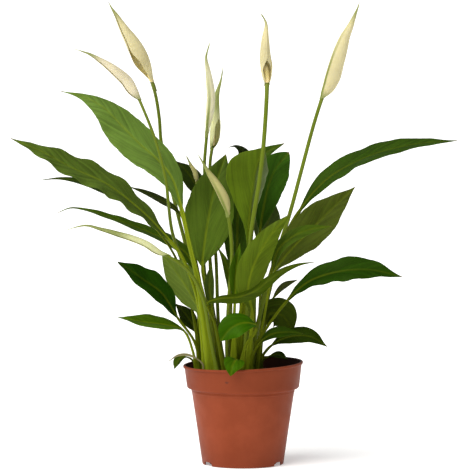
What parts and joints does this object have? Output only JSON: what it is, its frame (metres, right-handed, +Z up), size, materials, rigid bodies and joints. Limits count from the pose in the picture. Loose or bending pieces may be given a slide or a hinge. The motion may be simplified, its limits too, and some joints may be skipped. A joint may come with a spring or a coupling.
{
  "type": "potted peace lily",
  "caption": "Peace lily in flower, with arching glossy leaves and cream spathes on tall stalks, growing in a terracotta-coloured plastic nursery pot of soil.",
  "frame": {"origin": "centre of the pot's base, on the surface that it stands on", "axes": "+Z up along the pot's axis, -Y towards the front, +X to the right seen from the front"},
  "size_m": [0.4498, 0.1637, 0.468],
  "materials": {
    "pot_plastic": "satin",
    "potting_soil": "matte",
    "leaf_green": "satin",
    "stalk_green": "satin",
    "spathe_cream": "matte",
    "spadix_yellow": "matte"
  },
  "bodies": {
    "root": {"pot": "pot_plastic", "potting_soil": "potting_soil", "leaf_back_centre": "leaf_green", "leaf_back_left": "leaf_green", "leaf_back_right": "leaf_green", "leaf_back_right_small": "leaf_green", "leaf_centre_arching": "leaf_green", "leaf_centre_bright": "leaf_green", "leaf_centre_broad": "leaf_green", "leaf_centre_dark": "leaf_green", "leaf_centre_narrow": "leaf_green", "leaf_centre_shaded": "leaf_green", "leaf_centre_young": "leaf_green", "leaf_dry_strip": "leaf_green", "leaf_front_arched": "leaf_green", "leaf_front_bent": "leaf_green", "leaf_front_right": "leaf_green", "leaf_left_bottom": "leaf_green", "leaf_left_dark": "leaf_green", "leaf_left_hidden": "leaf_green", "leaf_left_inner": "leaf_green", "leaf_left_long": "leaf_green", "leaf_left_low": "leaf_green", "leaf_left_thin": "leaf_green", "leaf_left_underside": "leaf_green", "leaf_over_rim_front": "leaf_green", "leaf_over_rim_left": "leaf_green", "leaf_pot_small": "leaf_green", "leaf_right_band": "leaf_green", "leaf_right_broad": "leaf_green", "leaf_right_dark": "leaf_green", "leaf_right_front": "leaf_green", "leaf_right_long": "leaf_green", "leaf_right_low": "leaf_green", "leaf_right_shaded": "leaf_green", "leaf_upper_left": "leaf_green", "stalk_1": "stalk_green", "stalk_2": "stalk_green", "stalk_3": "stalk_green", "stalk_4": "stalk_green", "stalk_5": "stalk_green", "stalk_6": "stalk_green", "stalk_7": "stalk_green", "stalk_8": "stalk_green", "stalk_9": "stalk_green", "spathe_1": "spathe_cream", "spathe_2": "spathe_cream", "spathe_3": "spathe_cream", "spathe_4": "spathe_cream", "spathe_5": "spathe_cream", "spathe_6": "spathe_cream", "spathe_7": "spathe_cream", "spathe_8": "spathe_cream", "spathe_9": "spathe_cream", "spadix_1": "spadix_yellow", "spadix_3": "spadix_yellow", "spadix_4": "spadix_yellow", "spadix_5": "spadix_yellow", "spadix_6": "spadix_yellow", "spadix_7": "spadix_yellow"}
  },
  "joints": []
}
